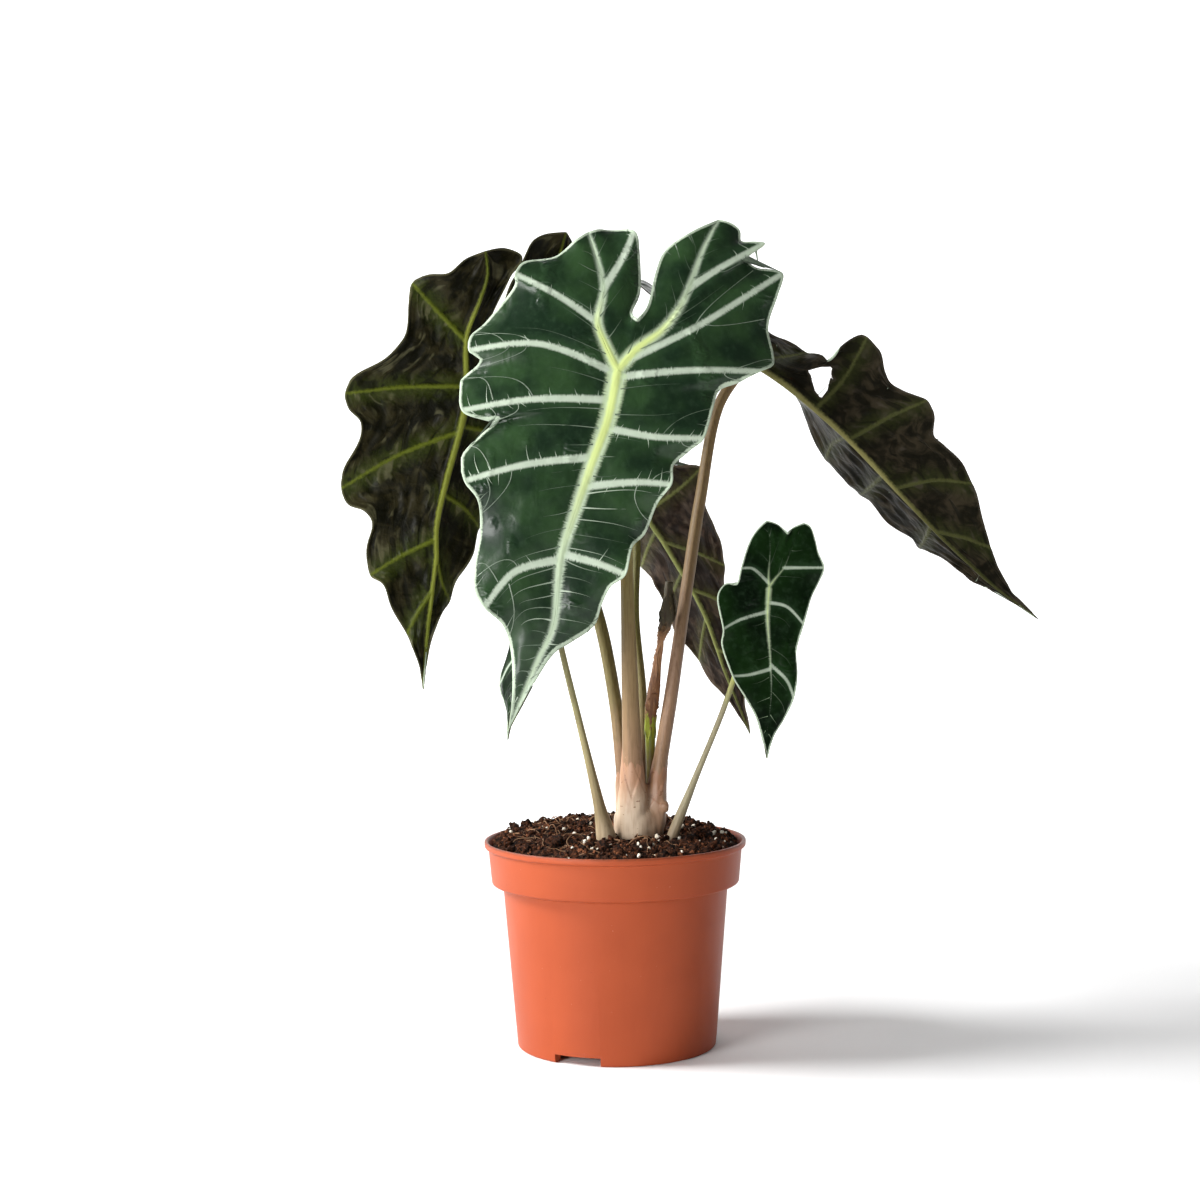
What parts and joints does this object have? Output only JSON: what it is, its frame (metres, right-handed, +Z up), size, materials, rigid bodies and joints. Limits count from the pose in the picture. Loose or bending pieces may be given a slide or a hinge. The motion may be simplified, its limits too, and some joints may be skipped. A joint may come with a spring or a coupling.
{
  "type": "potted alocasia plant",
  "caption": "Alocasia with dark arrow-shaped leaves, pale veins and waved margins on slim stalks, rising from a corm in a soil-filled plastic nursery pot.",
  "frame": {"origin": "on the pot's axis, at the plane of its foot ring", "axes": "+Z up along the pot's axis; -Y towards the viewer, the way the large front leaf faces; +X to the viewer's right"},
  "size_m": [0.3388, 0.1689, 0.3785],
  "materials": {
    "pot_plastic": "smooth satin terracotta-coloured plastic",
    "soil": "loose dark peat with pale grains",
    "corm": "pale smooth sheath bases with brown edges",
    "green_shoot": "fresh waxy yellow-green",
    "withered_sheath": "dry, wrinkled brown",
    "leaf_stalk": "smooth olive-tan with fine mottling",
    "leaf_blade": "glossy dark green above with pale veins, dull brown-green below"
  },
  "bodies": {
    "root": {"pot": "pot_plastic", "soil": "soil", "corm": "corm", "green_shoot": "green_shoot", "withered_sheath": "withered_sheath", "stalk_front": "leaf_stalk", "stalk_left": "leaf_stalk", "stalk_right": "leaf_stalk", "stalk_back": "leaf_stalk", "stalk_small_right": "leaf_stalk", "stalk_small_left": "leaf_stalk", "leaf_front": "leaf_blade", "leaf_left": "leaf_blade", "leaf_right": "leaf_blade", "leaf_back": "leaf_blade", "leaf_small_right": "leaf_blade", "leaf_small_left": "leaf_blade"}
  },
  "joints": []
}
